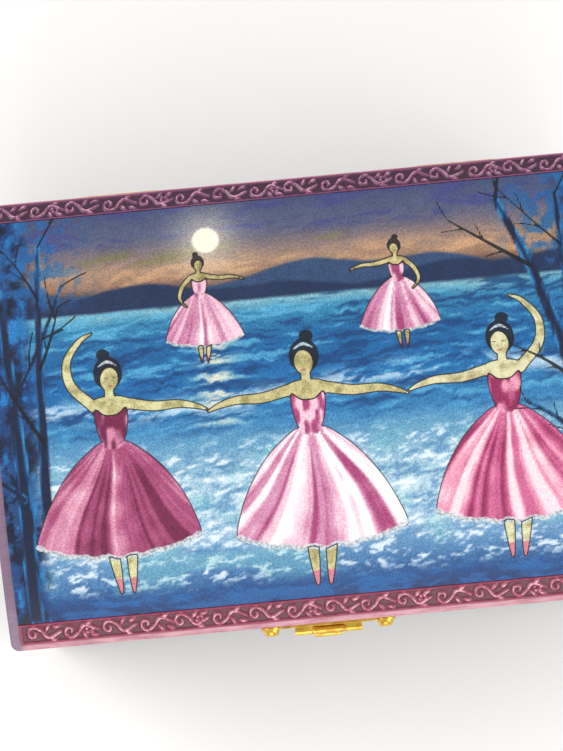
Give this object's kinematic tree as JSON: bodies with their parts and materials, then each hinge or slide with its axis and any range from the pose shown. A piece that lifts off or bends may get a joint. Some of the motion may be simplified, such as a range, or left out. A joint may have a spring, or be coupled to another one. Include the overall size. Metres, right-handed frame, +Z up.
{
  "type": "ballerina jewellery box",
  "caption": "Domed musical jewellery box with a painted lid, brass clasp, ring rolls, mirror and a turning dancer over a comb movement.",
  "frame": {"origin": "on the table, under the middle of the case", "axes": "+Z up, -Y towards the front with the clasp, +X to the right as seen from the front"},
  "size_m": [0.196, 0.1472, 0.1005],
  "materials": {
    "case_lacquer": "black-plum gloss lacquer",
    "lid_paint": "dusty rose lacquer",
    "picture": "hand-painted scene under clear lacquer",
    "frieze": "moulded scrollwork, rose paint with pale highlights",
    "bare_wood": "plain plywood",
    "velvet": "deep rose velvet",
    "roll_velvet": "rose velvet over foam",
    "satin": "pale rose satin lining",
    "gilt": "gilded frame",
    "mirror_glass": "silvered glass",
    "brass": "polished brass",
    "zinc": "zinc die casting, mass as metal",
    "steel": "spring steel",
    "doll_plastic": "painted moulded plastic",
    "tulle": "pink tulle"
  },
  "bodies": {
    "case": {"front_wall": "case_lacquer", "back_wall": "case_lacquer", "left_wall": "case_lacquer", "right_wall": "case_lacquer", "bottom_panel": "bare_wood", "corner_blocks": "bare_wood", "feet": "brass", "partition": "velvet", "cross_divider": "velvet", "well_divider": "velvet", "ring_shelf": "bare_wood", "ring_roll_1": "roll_velvet", "ring_roll_2": "roll_velvet", "ring_roll_3": "roll_velvet", "ring_roll_4": "roll_velvet", "well_pad_left": "velvet", "well_pad_right": "velvet", "jewel_liner": "velvet", "stage_deck": "velvet", "deck_velvet": "velvet", "stage_liner": "velvet", "stage_mirror": "mirror_glass", "hinge_body_leaves": "brass", "hinge_pins": "brass", "case_brass_nails": "brass", "keeper_plate": "brass", "bedplate": "zinc", "movement_screws": "steel", "tune_comb": "steel", "governor_cock": "zinc"},
    "lid": {"lid_front_rail": "lid_paint", "lid_back_rail": "lid_paint", "lid_end_left": "lid_paint", "lid_end_right": "lid_paint", "lid_panel": "lid_paint", "picture_panel": "picture", "frieze_front": "frieze", "frieze_back": "frieze", "lid_lining": "satin", "mirror_frame": "gilt", "lid_mirror": "mirror_glass", "hinge_lid_leaves": "brass", "lid_brass_nails": "brass", "clasp_plate": "brass", "clasp_dome_nails": "brass", "clasp_pin": "brass"},
    "hasp": {"clasp_hasp": "brass"},
    "spring_train": {"great_wheel": "brass", "mainspring": "steel", "winding_arbor": "steel", "winding_key": "brass"},
    "tune_barrel": {"tune_cylinder": "brass", "cylinder_arbor": "brass"},
    "train_arbor": {"train_wheel": "steel"},
    "governor": {"governor_worm": "steel"},
    "turntable": {"turntable_spindle": "steel", "doll_spring": "steel", "ballerina": "doll_plastic", "tutu": "tulle"},
    "stop": {"stop_slide": "steel"}
  },
  "joints": [
    {"name": "lid_hinge", "type": "hinge", "parent": "case", "child": "lid", "pos_m": [0, 0.0714, 0.0722], "axis": [-1, 0, 0], "range_deg": [0, 100]},
    {"name": "hasp_swing", "type": "hinge", "parent": "lid", "child": "hasp", "pos_m": [0, -0.0719, 0.075], "axis": [-1, 0, 0], "range_deg": [0, 110]},
    {"name": "key_turn", "type": "hinge", "parent": "case", "child": "spring_train", "pos_m": [0.066, 0.01579, 0.03], "axis": [0, 0, 1], "continuous": true},
    {"name": "cylinder_turn", "type": "hinge", "parent": "case", "child": "tune_barrel", "pos_m": [0.035, 0.01579, 0.03], "axis": [1, 0, 0], "continuous": true},
    {"name": "train_turn", "type": "hinge", "parent": "case", "child": "train_arbor", "pos_m": [0.0158, 0.00669, 0.03], "axis": [1, 0, 0], "continuous": true},
    {"name": "governor_turn", "type": "hinge", "parent": "case", "child": "governor", "pos_m": [0.0158, 0.00009, 0.03], "axis": [0, 0, 1], "continuous": true},
    {"name": "dancer_turn", "type": "hinge", "parent": "case", "child": "turntable", "pos_m": [0.052, 0, 0.04], "axis": [0, 0, 1], "continuous": true},
    {"name": "stop_lift", "type": "slide", "parent": "case", "child": "stop", "axis": [0, 0, 1], "range_m": [0, 0.0015]}
  ],
  "couplings": [
    {"joint": "cylinder_turn", "follows": "key_turn", "ratio": -4.8},
    {"joint": "train_turn", "follows": "key_turn", "ratio": 16.8},
    {"joint": "governor_turn", "follows": "key_turn", "ratio": 112},
    {"joint": "dancer_turn", "follows": "key_turn", "ratio": -2.5},
    {"joint": "stop_lift", "follows": "lid_hinge", "m_per_rad": 0.00085944}
  ]
}
